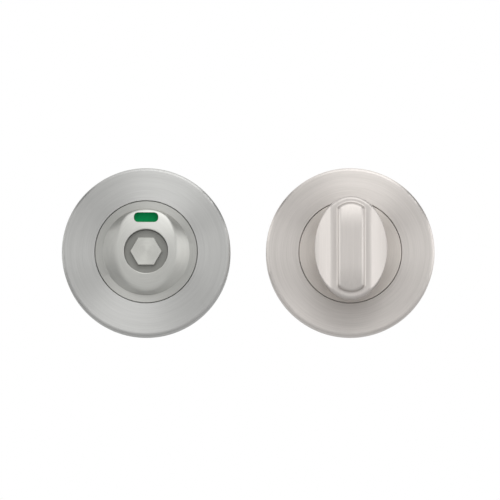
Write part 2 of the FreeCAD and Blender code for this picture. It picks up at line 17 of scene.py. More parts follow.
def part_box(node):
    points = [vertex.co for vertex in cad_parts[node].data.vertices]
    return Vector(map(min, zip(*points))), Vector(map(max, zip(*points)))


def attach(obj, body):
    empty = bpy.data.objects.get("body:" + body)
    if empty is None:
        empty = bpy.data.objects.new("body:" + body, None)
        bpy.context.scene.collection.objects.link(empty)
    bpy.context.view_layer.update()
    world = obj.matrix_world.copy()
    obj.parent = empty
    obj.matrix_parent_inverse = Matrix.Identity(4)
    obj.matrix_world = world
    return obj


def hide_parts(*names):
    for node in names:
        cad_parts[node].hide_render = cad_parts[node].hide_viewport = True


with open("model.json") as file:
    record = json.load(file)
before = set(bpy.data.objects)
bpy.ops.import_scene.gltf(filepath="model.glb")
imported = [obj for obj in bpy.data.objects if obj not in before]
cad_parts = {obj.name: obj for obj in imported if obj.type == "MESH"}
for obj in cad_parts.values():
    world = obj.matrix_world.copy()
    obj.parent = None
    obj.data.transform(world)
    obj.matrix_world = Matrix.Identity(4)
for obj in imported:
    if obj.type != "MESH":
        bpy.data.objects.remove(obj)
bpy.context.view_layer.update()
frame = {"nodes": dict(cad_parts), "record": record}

log = logging.getLogger("bathroom_lock")

MM = 0.001
# Points nearer than this many millimetres are welded
WELD_MM = 0.001
# How far a rounding's middle stands in from its corner, as a share of its size
ROUND_MIDDLE = 0.3
# Noise below the first of these is one colour, and above the second the other
NOISE_LOW, NOISE_HIGH = 0.35, 0.65
# Roughness of the floor and the black cards
MATT = 0.9
HINGE_PLACES = {joint["child"]: Vector(joint["pos_m"]) for joint in frame["record"]["behaviour"]["joints"]}
TURN_AXIS = HINGE_PLACES["turn"]
RELEASE_AXIS = HINGE_PLACES["release"]


def linear(code: str) -> tuple[float, float, float, float]:
    """Turns an sRGB hex colour into linear light.

    Args:
        code: Six hex digits after a number sign.

    Returns:
        Red, green and blue in linear light, and a full alpha.
    """
    parts = [int(code[i:i + 2], 16) / 255 for i in (1, 3, 5)]
    light = [c / 12.92 if c <= 0.04045 else ((c + 0.055) / 1.055) ** 2.4 for c in parts]
    return light[0], light[1], light[2], 1.0


def add_node(
    tree: NodeTree, kind: str, inputs: dict[Any, Any] | None = None, **settings: Any
) -> Node:
    """Adds one node, with its settings, values and links.

    Args:
        tree: The node tree that takes the node.
        kind: The node's type, such as ShaderNodeMath.
        inputs: A value or an output socket for each input's name or number.
        **settings: Values for the node's own properties.

    Returns:
        The new node.
    """
    node = tree.nodes.new(kind)
    for name, value in settings.items():
        setattr(node, name, value)
    for key, value in (inputs or {}).items():
        if isinstance(value, NodeSocket):
            tree.links.new(value, node.inputs[key])
        else:
            node.inputs[key].default_value = value
    return node


def new_material(name: str) -> tuple[Material, NodeTree]:
    """Makes an empty node material.

    Args:
        name: The finish's plain name.

    Returns:
        The material and its cleared node tree.
    """
    material = bpy.data.materials.new(name)
    material.use_nodes = True
    material.node_tree.nodes.clear()
    return material, material.node_tree


def show(tree: NodeTree, shader: Node) -> None:
    """Links a shader to the material's output."""
    add_node(tree, "ShaderNodeOutputMaterial", {"Surface": shader.outputs[0]})


def calculate(tree: NodeTree, operation: str, first: NodeSocket, second: NodeSocket | float) -> NodeSocket:
    """Does one operation on two values, with a Math node."""
    return add_node(tree, "ShaderNodeMath", {0: first, 1: second}, operation=operation).outputs[0]


def mix(tree: NodeTree, share: NodeSocket, first: Any, second: Any) -> NodeSocket:
    """Mixes the second colour into the first by a share, with a Mix node."""
    mixed = add_node(tree, "ShaderNodeMix", {"Factor": share, "A": first, "B": second}, data_type="RGBA")
    return mixed.outputs["Result"]


def place_from_axis(tree: NodeTree, axis: Vector) -> NodeSocket:
    """Finds the place on a piece from its axis.

    Args:
        tree: The material's node tree.
        axis: A point on the axis.

    Returns:
        The place, in metres.
    """
    place = add_node(tree, "ShaderNodeTexCoord")
    centred = add_node(
        tree, "ShaderNodeMapping",
        {"Vector": place.outputs["Object"], "Location": (-axis.x, 0.0, -axis.z)},
    )
    return centred.outputs[0]


def tint(
    tree: NodeTree, pattern: NodeSocket, low: str, high: str, contrast: float = 1.0
) -> NodeSocket:
    """Colours a noise pattern.

    Args:
        tree: The material's node tree.
        pattern: The noise.
        low: The hex colour where the noise is low.
        high: The hex colour where it is high.
        contrast: How much of the second colour shows.

    Returns:
        The mixed colour.
    """
    share = add_node(
        tree, "ShaderNodeMapRange",
        {"Value": pattern, "From Min": NOISE_LOW, "From Max": NOISE_HIGH, "To Max": contrast},
    )
    return mix(tree, share.outputs[0], linear(low), linear(high))


def matt(name: str, colour: str) -> Material:
    """Makes a plain matt paint.

    Args:
        name: The paint's plain name.
        colour: Its hex colour.

    Returns:
        The finished material.
    """
    material, tree = new_material(name)
    paint = {"Base Color": linear(colour), "Roughness": MATT}
    show(tree, add_node(tree, "ShaderNodeBsdfPrincipled", paint))
    return material


def add_object(name: str, data: ID) -> Object:
    """Adds an object with its data to the scene."""
    added = bpy.data.objects.new(name, data)
    bpy.context.scene.collection.objects.link(added)
    return added


def settle(shape: BMesh, name: str) -> Mesh:
    """Turns a working mesh into a lasting one and frees it.

    Args:
        shape: The working mesh.
        name: The lasting mesh's name.

    Returns:
        The lasting mesh.
    """
    mesh = bpy.data.meshes.new(name)
    shape.to_mesh(mesh)
    shape.free()
    return mesh


def add_sheet(
    name: str, size: tuple[float, float], place: Matrix, material: Material, seen: bool = True
) -> None:
    """Adds a flat sheet to the stage.

    Args:
        name: The sheet's name.
        size: Its width and length, in metres.
        place: Where its middle is, and which way it lies.
        material: Its finish.
        seen: Whether the camera sees it.
    """
    shape = bmesh.new()
    bmesh.ops.create_grid(shape, x_segments=1, y_segments=1, size=0.5)
    bmesh.ops.scale(shape, verts=shape.verts, vec=(*size, 1.0))
    mesh = settle(shape, name)
    mesh.materials.append(material)
    sheet = add_object(name, mesh)
    sheet.matrix_world = place
    sheet.visible_camera = seen
    log.info("placed %s", name)


def add_block(shape: BMesh, size: tuple[float, float, float], middle: tuple[float, float, float]) -> None:
    """Adds a plain block.

    Args:
        shape: The mesh that takes it.
        size: Its width, depth and height, in millimetres.
        middle: Its middle.
    """
    block = bmesh.ops.create_cube(shape, size=1.0)["verts"]
    bmesh.ops.scale(shape, verts=block, vec=size)
    bmesh.ops.translate(shape, verts=block, vec=middle)


class Grain(Enum):
    """Which way the brushing runs over a piece."""

    CIRCULAR = "round the axis"
    UPRIGHT = "up and down"
    DEEP = "along the axis"


@dataclass(frozen=True)
class BrushedSteel:
    """Satin stainless steel, brushed with an abrasive belt or wheel.

    The fine parallel scratches spread each highlight across themselves, so a turned disc shows
    soft bright wedges from its centre and a belt-brushed bar shows bands along its length.

    Attributes:
        name: The finish's plain name.
        colour: The metal between its scratches.
        streak: The metal in its deeper scratches.
        roughness: Spread of the reflection.
        anisotropy: How far the scratches stretch it, from 0 to 1.
        grain: Which way the scratches run.
        pitch_mm: Spacing of the scratches. Real ones are 0.05 mm apart, too fine for the render,
            so they are drawn about seven times as wide.
        depth_mm: Height of the scratches.
        contrast: How much of the streak colour shows.
        band_share: How much of the pattern is wide faint bands.
        band_scale: Width of a scratch against that of a band.
        swirl: How often the pattern changes round a circular grain.
        run: Width of a scratch against its length.
        painted_shade_colour: Painted shade: a darker colour on the metal lower down, in a recess, or nothing.
        painted_shade_from_mm: How far in front of the door that painted shade begins.
    """

    name: str
    colour: str
    streak: str
    roughness: float
    anisotropy: float
    grain: Grain
    pitch_mm: float = 0.34
    depth_mm: float = 0.005
    contrast: float = 0.5
    band_share: float = 0.2
    band_scale: float = 0.17
    swirl: float = 1.6
    run: float = 0.02
    painted_shade_colour: str = ""
    painted_shade_from_mm: float = 0.0

    def material(self, axis: Vector) -> Material:
        """Builds the material for pieces on one axis.

        Args:
            axis: A point on the axis that the brushing runs round.

        Returns:
            The finished material.
        """
        material, tree = new_material(self.name)
        place = place_from_axis(tree, axis)
        across, scratches = self.lay(tree, place)
        fine = add_node(
            tree, "ShaderNodeTexNoise", {"Vector": scratches, "Scale": 1.0, "Detail": 3.0, "Roughness": 0.65}
        )
        bands = add_node(
            tree, "ShaderNodeTexNoise", {"Vector": scratches, "Scale": self.band_scale, "Detail": 1.0}
        )
        both = add_node(
            tree, "ShaderNodeMix",
            {"Factor": self.band_share, "A": fine.outputs[0], "B": bands.outputs[0]}, data_type="FLOAT",
        )
        colour = tint(tree, both.outputs[0], self.colour, self.streak, self.contrast)
        # Painted shade: the metal behind a given level is darkened to stand in for the shade in a recess
        if self.painted_shade_colour:
            colour = self.paint_shade(tree, place, colour)
        bump = add_node(
            tree, "ShaderNodeBump",
            {"Height": both.outputs[0], "Strength": 1.0, "Distance": self.depth_mm * MM},
        )
        world = add_node(
            tree, "ShaderNodeVectorTransform", {"Vector": across},
            vector_type="VECTOR", convert_from="OBJECT", convert_to="WORLD",
        )
        shader = add_node(tree, "ShaderNodeBsdfPrincipled", {
            "Base Color": colour, "Metallic": 1.0, "Roughness": self.roughness,
            "Anisotropic": self.anisotropy, "Tangent": world.outputs[0], "Normal": bump.outputs[0],
        })
        show(tree, shader)
        return material

    def paint_shade(
        self, tree: NodeTree, place: NodeSocket, colour: NodeSocket
    ) -> NodeSocket:
        """Mixes in painted shade: a darker colour behind the level where it begins.

        Args:
            tree: The material's node tree.
            place: The place on the piece, in metres.
            colour: The metal's colour in front of that level.

        Returns:
            The colour at any depth.
        """
        axes = add_node(tree, "ShaderNodeSeparateXYZ", {0: place})
        deep = calculate(tree, "GREATER_THAN", axes.outputs[1], -self.painted_shade_from_mm * MM)
        return mix(tree, deep, colour, linear(self.painted_shade_colour))

    def lay(
        self, tree: NodeTree, place: NodeSocket
    ) -> tuple[NodeSocket, NodeSocket]:
        """Lays the scratches over the piece.

        Args:
            tree: The material's node tree.
            place: The place on the piece, from its axis, in metres.

        Returns:
            The direction across the scratches, and noise coordinates stretched along them.
        """
        close = 1 / (self.pitch_mm * MM)
        if self.grain is Grain.CIRCULAR:
            flat = add_node(
                tree, "ShaderNodeVectorMath", {0: place, 1: (1.0, 0.0, 1.0)}, operation="MULTIPLY"
            )
            reach = add_node(tree, "ShaderNodeVectorMath", {0: flat.outputs[0]}, operation="LENGTH")
            outward = add_node(tree, "ShaderNodeVectorMath", {0: flat.outputs[0]}, operation="NORMALIZE")
            axes = add_node(tree, "ShaderNodeSeparateXYZ", {0: place})
            turned = add_node(tree, "ShaderNodeSeparateXYZ", {0: outward.outputs[0]})
            profile = calculate(tree, "SUBTRACT", reach.outputs["Value"], axes.outputs[1])
            lines = add_node(tree, "ShaderNodeCombineXYZ", {
                0: calculate(tree, "MULTIPLY", turned.outputs[0], self.swirl),
                1: calculate(tree, "MULTIPLY", profile, close),
                2: calculate(tree, "MULTIPLY", turned.outputs[2], self.swirl),
            })
            return outward.outputs[0], lines.outputs[0]
        along = self.run * close
        stretch = (close, close, along) if self.grain is Grain.UPRIGHT else (close, along, close)
        lines = add_node(tree, "ShaderNodeVectorMath", {0: place, 1: stretch}, operation="MULTIPLY")
        side = add_node(tree, "ShaderNodeCombineXYZ", {0: 1.0, 1: 0.0, 2: 0.0})
        return side.outputs[0], lines.outputs[0]


@dataclass(frozen=True)
class Granular:
    """A finish with a fine even grain: castings, mouldings, plating and film.

    Attributes:
        name: The finish's plain name.
        colour: The main colour.
        shade: The colour in its hollows.
        metallic: 1 for bare metal and 0 for plastic or film.
        roughness: Spread of the reflection.
        grain_mm: Size of the grain.
        depth_mm: Height of the grain.
        gloss: Strength of the reflection on plastic or film, where 0.5 is plain.
        cloud_scale: Size of a grain against that of the faint patches in it.
    """

    name: str
    colour: str
    shade: str
    metallic: float
    roughness: float
    grain_mm: float
    depth_mm: float
    gloss: float = 0.5
    cloud_scale: float = 0.08

    def material(self, axis: Vector) -> Material:
        """Builds the material.

        Args:
            axis: A point on the piece's axis, where the pattern is centred.

        Returns:
            The finished material.
        """
        material, tree = new_material(self.name)
        place = place_from_axis(tree, axis)
        close = 1 / (self.grain_mm * MM)
        grain = add_node(
            tree, "ShaderNodeTexNoise", {"Vector": place, "Scale": close, "Detail": 3.0, "Roughness": 0.6}
        )
        cloud = add_node(
            tree, "ShaderNodeTexNoise", {"Vector": place, "Scale": self.cloud_scale * close, "Detail": 2.0}
        )
        both = add_node(
            tree, "ShaderNodeMix", {"Factor": 0.5, "A": grain.outputs[0], "B": cloud.outputs[0]},
            data_type="FLOAT",
        )
        bump = add_node(
            tree, "ShaderNodeBump",
            {"Height": grain.outputs[0], "Strength": 1.0, "Distance": self.depth_mm * MM},
        )
        shader = add_node(tree, "ShaderNodeBsdfPrincipled", {
            "Base Color": tint(tree, both.outputs[0], self.shade, self.colour),
            "Metallic": self.metallic, "Roughness": self.roughness,
            "Specular IOR Level": self.gloss, "Normal": bump.outputs[0],
        })
        show(tree, shader)
        return material


# Wheel brushing on neutral steel: soft wedges of light that sweep round the outside rose
ROSE_FINISH = BrushedSteel("brushed_steel_rose", "#bfbfbd", "#aeaeac", 0.45, 0.85, Grain.CIRCULAR)
# The same wedges in the inside half's slightly warmer steel, painted lighter than the outside rose as painted
# light for the inside half's brighter light
WARM_PAINTED_LIGHT_ROSE_FINISH = BrushedSteel("warm_brushed_steel_rose_painted_light", "#d7d2ce", "#c3bfba", 0.45, 0.85, Grain.CIRCULAR)
# Lighter brushing: hardly any wedge, so that the light falls off smoothly over the dome
HOUSING_FINISH = BrushedSteel("brushed_steel_housing", "#bebeba", "#b2b2ae", 0.45, 0.4, Grain.CIRCULAR)
# The narrow ring round the dome: its colour is a shade darker, as painted shade from the dome, which sets the
# dome off
SHADED_PLATE_FINISH = BrushedSteel("brushed_steel_plate_painted_shade", "#b2b2ae", "#a4a4a0", 0.45, 0.8, Grain.CIRCULAR)
# The inside half's centre plate: the palest ring, a little warm
CENTRE_FINISH = BrushedSteel("brushed_steel_centre", "#d8d2cc", "#cac4be", 0.45, 0.85, Grain.CIRCULAR)
# Belt brushing up and down: even, quiet faces with faint upright lines
TURN_FINISH = BrushedSteel("belt_brushed_steel_turn", "#cac5c1", "#beb9b5", 0.5, 0.45, Grain.UPRIGHT)
# A pale turned hexagon in front of a collar in painted shade: darker grey deep in the recess
HUB_FINISH = BrushedSteel(
    "turned_steel_hub", "#bfbfba", "#b2b2ad", 0.4, 0.5, Grain.CIRCULAR, pitch_mm=0.5,
    painted_shade_colour="#8c8c88", painted_shade_from_mm=9.5,
)
# Bluish zinc with long lines from the drawing die
SPINDLE_FINISH = BrushedSteel(
    "drawn_zinc_plated_bar", "#a9acb0", "#95989c", 0.36, 0.6, Grain.DEEP, pitch_mm=0.3
)
# The dull, finely pitted skin of a casting
BASE_FINISH = Granular("die_cast_zinc", "#a6a6a4", "#8d8d8b", 1.0, 0.5, 0.35, 0.02)
# Creamy plastic with a low sheen
NYLON_FINISH = Granular("moulded_nylon", "#e4e1d6", "#d8d4c8", 0.0, 0.45, 0.5, 0.006)
# Near-black metal that glints where oil lies on it
SPRING_FINISH = Granular("oiled_spring_steel", "#5c5d60", "#47484b", 1.0, 0.38, 0.3, 0.005)
# Bluish plating, the brightest metal at the back
SCREW_FINISH = Granular("bright_zinc_plate", "#b4b8bf", "#a4a8b0", 1.0, 0.3, 0.4, 0.004)
# Pale, even sheet metal without lines
SHEET_FINISH = Granular("stamped_aluminium", "#b9b9b9", "#a9a9a9", 1.0, 0.4, 0.35, 0.006)
# Flat strong green with almost no reflection, which reads as vacant from afar
GREEN_FINISH = Granular("green_film", "#00a05a", "#009452", 0.0, 0.6, 0.6, 0.003, gloss=0.1)
# The same flat film in red, for engaged
RED_FINISH = Granular("red_film", "#c81a1e", "#bb161a", 0.0, 0.6, 0.6, 0.003, gloss=0.1)


def dress(node: str, material: Material) -> None:
    """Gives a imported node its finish.

    Args:
        node: The node's name.
        material: The finish for all of it.
    """
    piece = frame["nodes"][node]
    if not piece.material_slots:
        piece.data.materials.append(material)
    for place in piece.material_slots:
        place.material = material
    log.info("dressed %s in %s", node, material.name)


@dataclass(frozen=True)
class MetricThread:
    """A coarse metric screw thread, modelled as a helical strip.

    Attributes:
        pitch: From one crest to the next, in millimetres.
        bottom: Radius at the foot of its grooves.
        top: Radius at its crests.
        flank_start: Where a flank begins to rise, as a share of the pitch.
        crest_start: Where its crest begins.
        crest_end: Where its crest ends.
        lead: Turns that are wound past each end and cut off.
        steps: Faces round one turn.
    """

    pitch: float = 0.7
    bottom: float = 1.62
    top: float = 2.0
    flank_start: float = 0.25
    crest_start: float = 0.56
    crest_end: float = 0.69
    lead: float = 2.0
    steps: int = 24

    def wind(self, shape: BMesh, low: float, high: float) -> None:
        """Winds the thread round the axis, and cuts it square at both ends.

        Args:
            shape: The mesh that takes it.
            low: Level of its lower end, in millimetres.
            high: Level of its upper end.
        """
        strip = bmesh.new()
        run = (
            (0.0, self.bottom), (self.flank_start, self.bottom), (self.crest_start, self.top),
            (self.crest_end, self.top), (1.0, self.bottom),
        )
        start = low - self.lead * self.pitch
        points = [strip.verts.new((radius, 0.0, start + part * self.pitch)) for part, radius in run]
        edges = [strip.edges.new(pair) for pair in zip(points, points[1:])]
        bmesh.ops.spin(
            strip, geom=points + edges, cent=(0.0, 0.0, 0.0), axis=(0.0, 0.0, 1.0), angle=math.tau,
            steps=self.steps, dvec=(0.0, 0.0, self.pitch / self.steps),
        )
        wound = self.pitch
        while wound < high - low + 2 * self.lead * self.pitch:
            again = bmesh.ops.duplicate(strip, geom=strip.verts[:] + strip.edges[:] + strip.faces[:])["geom"]
            upper = [item for item in again if isinstance(item, BMVert)]
            bmesh.ops.translate(strip, verts=upper, vec=(0.0, 0.0, wound))
            wound *= 2.0
        bmesh.ops.remove_doubles(strip, verts=strip.verts, dist=WELD_MM)
        for level, outwards in ((low, -1.0), (high, 1.0)):
            bmesh.ops.bisect_plane(
                strip, geom=strip.verts[:] + strip.edges[:] + strip.faces[:], dist=WELD_MM,
                plane_co=(0.0, 0.0, level), plane_no=(0.0, 0.0, outwards), clear_outer=True,
            )
        pour(strip, shape)


def pour(part: BMesh, shape: BMesh) -> None:
    """Adds one mesh to another and frees it.

    Args:
        part: The mesh that is added.
        shape: The mesh that takes it.
    """
    carrier = settle(part, "carrier")
    shape.from_mesh(carrier)
    bpy.data.meshes.remove(carrier)


def turn_profile(shape: BMesh, outline: list[tuple[float, float]], steps: int) -> None:
    """Turns an outline round the axis, as on a lathe.

    Args:
        shape: The mesh that takes it.
        outline: Radius and level of each corner, in millimetres.
        steps: Faces round one turn.
    """
    points = [shape.verts.new((radius, 0.0, level)) for radius, level in outline]
    edges = [shape.edges.new(pair) for pair in zip(points, points[1:])]
    bmesh.ops.spin(
        shape, geom=points + edges, cent=(0.0, 0.0, 0.0), axis=(0.0, 0.0, 1.0), angle=math.tau, steps=steps,
        use_merge=True,
    )
    bmesh.ops.remove_doubles(shape, verts=shape.verts, dist=WELD_MM)


def rim_at(shape: BMesh, level: float, reach: float = 0.01) -> list[BMEdge]:
    """Finds the open edges of a mesh at one level.

    Args:
        shape: The mesh.
        level: Their level, in millimetres.
        reach: How far from it they may lie.

    Returns:
        The open edges.
    """
    return [
        edge for edge in shape.edges
        if edge.is_boundary and all(abs(vert.co.z - level) < reach for vert in edge.verts)
    ]


@dataclass(frozen=True)
class StandIn:
    """A fixed piece that is modelled anew and stands for a plainer CAD solid.

    Attributes:
        slot: The record's material slot named for the piece; not used.
        ending: What its name adds to the node's name.
        steps: Faces round its turned outline.
        sharp_angle: Edges that turn by more than this many degrees stay sharp.
    """

    slot: str = "plated_screw"
    ending: str = "threaded"
    steps: int = 48
    sharp_angle: float = 35.0

    def finish_at(self, radius: float, level: float) -> int:
        """Tells which of the piece's finishes a face has, by its place in millimetres."""
        return 0

    def model(self) -> BMesh:
        """Models the piece upright about its axis, in millimetres from the back of the cast base."""
        raise NotImplementedError

    def build(self, node: str, materials: list[Material]) -> None:
        """Builds the piece where its CAD node is.

        Args:
            node: The node that the piece stands for.
            materials: Its finishes.
        """
        low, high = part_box(node)
        middle = (low + high) / 2
        shape = self.model()
        bmesh.ops.remove_doubles(shape, verts=shape.verts, dist=WELD_MM)
        bmesh.ops.recalc_face_normals(shape, faces=shape.faces)
        for face in shape.faces:
            place = face.calc_center_median()
            face.smooth = True
            face.material_index = self.finish_at(place.xy.length, place.z)
        bmesh.ops.scale(shape, verts=shape.verts, vec=(MM, MM, MM))
        bmesh.ops.rotate(
            shape, verts=shape.verts, cent=(0.0, 0.0, 0.0), matrix=Matrix.Rotation(math.radians(90.0), 3, "X")
        )
        bmesh.ops.translate(shape, verts=shape.verts, vec=(middle.x, 0.0, middle.z))
        name = f"{node}_{self.ending}"
        mesh = settle(shape, name)
        mesh.set_sharp_from_angle(angle=math.radians(self.sharp_angle))
        piece = add_object(name, mesh)
        for material in materials:
            mesh.materials.append(material)
        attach(piece, "body")
        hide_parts(node)
        log.info("modelled %s with %d faces", name, len(mesh.polygons))


@dataclass(frozen=True)
class Fixing(StandIn):
    """A threaded fastener along the lock's front to back.

    Attributes:
        thread: Its screw thread.
        run_out: Length over which the thread fades into plain metal, in millimetres.
        head_radius: Radius of its head.
        base_thickness: Thickness of the cast base that holds it.
    """

    thread: MetricThread = MetricThread()
    run_out: float = 0.35
    head_radius: float = 3.8
    base_thickness: float = 2.5


@dataclass(frozen=True)
class ThroughBolt(Fixing):
    """A countersunk bolt with a cross recess and a plain neck.

    Attributes:
        neck_radius: Radius of the neck, in millimetres.
        neck_end: Level where the thread begins.
        tip: Level of its tip.
        tip_chamfer: Size of the cone at its tip.
        head_land: Height of the straight rim round its head.
        rim_round: Size of the rounded edge of the head's face.
        cross_span: Across the recess, from end to end of an arm.
        cross_width: Width of an arm.
        cross_depth: Depth of the recess.
        cross_taper: Size of the recess's floor against its mouth.
    """

    neck_radius: float = 1.75
    neck_end: float = -6.0
    tip: float = -37.5
    tip_chamfer: float = 0.5
    head_land: float = 0.12
    rim_round: float = 0.08
    cross_span: float = 4.2
    cross_width: float = 0.9
    cross_depth: float = 1.4
    cross_taper: float = 0.5

    def model(self) -> BMesh:
        """Models the bolt.

        Returns:
            Thread, neck, head and recess as one closed shape.
        """
        shape = bmesh.new()
        self.thread.wind(shape, self.tip, self.neck_end)
        self.point(shape)
        bmesh.ops.holes_fill(shape, edges=rim_at(shape, self.tip), sides=0)
        top = self.base_thickness
        land = self.head_radius - self.head_land
        neck = self.neck_end + self.run_out
        turn_profile(shape, [
            (self.neck_radius, neck),
            (self.neck_radius, top - self.head_radius + self.neck_radius),
            (land, top - self.head_land),
            (land, top - self.rim_round),
            (land - self.rim_round, top),
        ], self.steps)
        bmesh.ops.bridge_loops(shape, edges=rim_at(shape, self.neck_end) + rim_at(shape, neck))
        self.press_cross(shape, rim_at(shape, top))
        return shape

    def point(self, shape: BMesh) -> None:
        """Cuts the thread back to a cone near the tip.

        Args:
            shape: The bolt's mesh.
        """
        for vert in shape.verts:
            flat = Vector((vert.co.x, vert.co.y))
            cone = self.thread.top - self.tip_chamfer + (vert.co.z - self.tip)
            if flat.length > cone:
                flat *= cone / flat.length
                vert.co.x, vert.co.y = flat

    def press_cross(self, shape: BMesh, rim: list[BMEdge]) -> None:
        """Presses the cross recess into the head.

        Args:
            shape: The bolt's mesh.
            rim: The open edge of the head's face.
        """
        far, near = self.cross_span / 2, self.cross_width / 2
        arm = ((far, -near), (far, near), (near, near))
        corners = []
        for quarter in range(4):
            turn = Matrix.Rotation(math.radians(90.0 * quarter), 2)
            corners += [shape.verts.new((*(turn @ Vector(corner)), self.base_thickness)) for corner in arm]
        mouth = [shape.edges.new(pair) for pair in zip(corners, corners[1:] + corners[:1])]
        bmesh.ops.triangle_fill(shape, use_beauty=True, normal=(0.0, 0.0, 1.0), edges=rim + mouth)
        sunk = bmesh.ops.extrude_edge_only(shape, edges=mouth)["geom"]
        floor = [item for item in sunk if isinstance(item, BMVert)]
        bmesh.ops.translate(shape, verts=floor, vec=(0.0, 0.0, -self.cross_depth))
        bmesh.ops.scale(shape, verts=floor, vec=(self.cross_taper, self.cross_taper, 1.0))
        bmesh.ops.holes_fill(shape, edges=rim_at(shape, self.base_thickness - self.cross_depth), sides=0)


@dataclass(frozen=True)
class ThreadedPost(Fixing):
    """A round post, riveted into the cast base, with a threaded hole that takes a through bolt.

    Attributes:
        thread: The thread in its hole.
        radius: Radius of the post, in millimetres.
        end: Level of its far end.
        spigot_radius: Radius of its spigot in the base.
        head_thickness: Thickness of the riveted head.
        head_round: Size of the rounding that riveting leaves.
        edge: Size of the chamfers at its far end.
        thread_end: Level where the thread ends.
        hole_end: Level of the hole's floor.
        drill_cone: Depth of the cone that the drill leaves there.
        lip: From the thread to the cone at its mouth.
    """

    thread: MetricThread = MetricThread(bottom=1.65)
    radius: float = 3.0
    end: float = -19.5
    spigot_radius: float = 2.4
    head_thickness: float = 0.9
    head_round: float = 0.45
    edge: float = 0.35
    thread_end: float = -3.6
    hole_end: float = -2.4
    drill_cone: float = 0.9
    lip: float = 0.035

    def model(self) -> BMesh:
        """Models the post.

        Returns:
            The post and its threaded hole as one closed shape.
        """
        shape = bmesh.new()
        mouth = self.end + self.edge
        self.thread.wind(shape, mouth, self.thread_end)
        plain = self.thread_end + self.run_out
        turn_profile(shape, [
            (self.thread.bottom, plain),
            (self.thread.bottom, self.hole_end),
            (0.0, self.hole_end + self.drill_cone),
        ], self.steps)
        bmesh.ops.bridge_loops(shape, edges=rim_at(shape, self.thread_end) + rim_at(shape, plain))
        lip = mouth - self.lip
        top = self.base_thickness + self.head_thickness
        turn_profile(shape, [
            (self.thread.top, lip),
            (self.thread.top + self.edge, self.end),
            (self.radius - self.edge, self.end),
            (self.radius, mouth),
            (self.radius, 0.0),
            (self.spigot_radius, 0.0),
            (self.spigot_radius, self.base_thickness),
            (self.head_radius, self.base_thickness),
            (self.head_radius, top - self.head_round),
            (self.head_radius - ROUND_MIDDLE * self.head_round, top - ROUND_MIDDLE * self.head_round),
            (self.head_radius - self.head_round, top),
            (0.0, top),
        ], self.steps)
        bmesh.ops.bridge_loops(shape, edges=rim_at(shape, mouth) + rim_at(shape, lip))
        return shape


def carve(shape: BMesh, cutter: BMesh) -> BMesh:
    """Cuts one closed mesh out of another, and frees both.

    Args:
        shape: The mesh that loses metal.
        cutter: The space that is cleared.

    Returns:
        What is left.
    """
    blanks = []
    for name, part in (("blank", shape), ("cutter", cutter)):
        bmesh.ops.recalc_face_normals(part, faces=part.faces)
        blanks.append(add_object(name, settle(part, name)))
    cut = blanks[0].modifiers.new("cut", "BOOLEAN")
    cut.operation = "DIFFERENCE"
    cut.solver = "EXACT"
    cut.object = blanks[1]
    bpy.context.view_layer.update()
    carved = bmesh.new()
    carved.from_object(blanks[0], bpy.context.evaluated_depsgraph_get())
    for blank in blanks:
        mesh = blank.data
        bpy.data.objects.remove(blank)
        bpy.data.meshes.remove(mesh)
    return carved


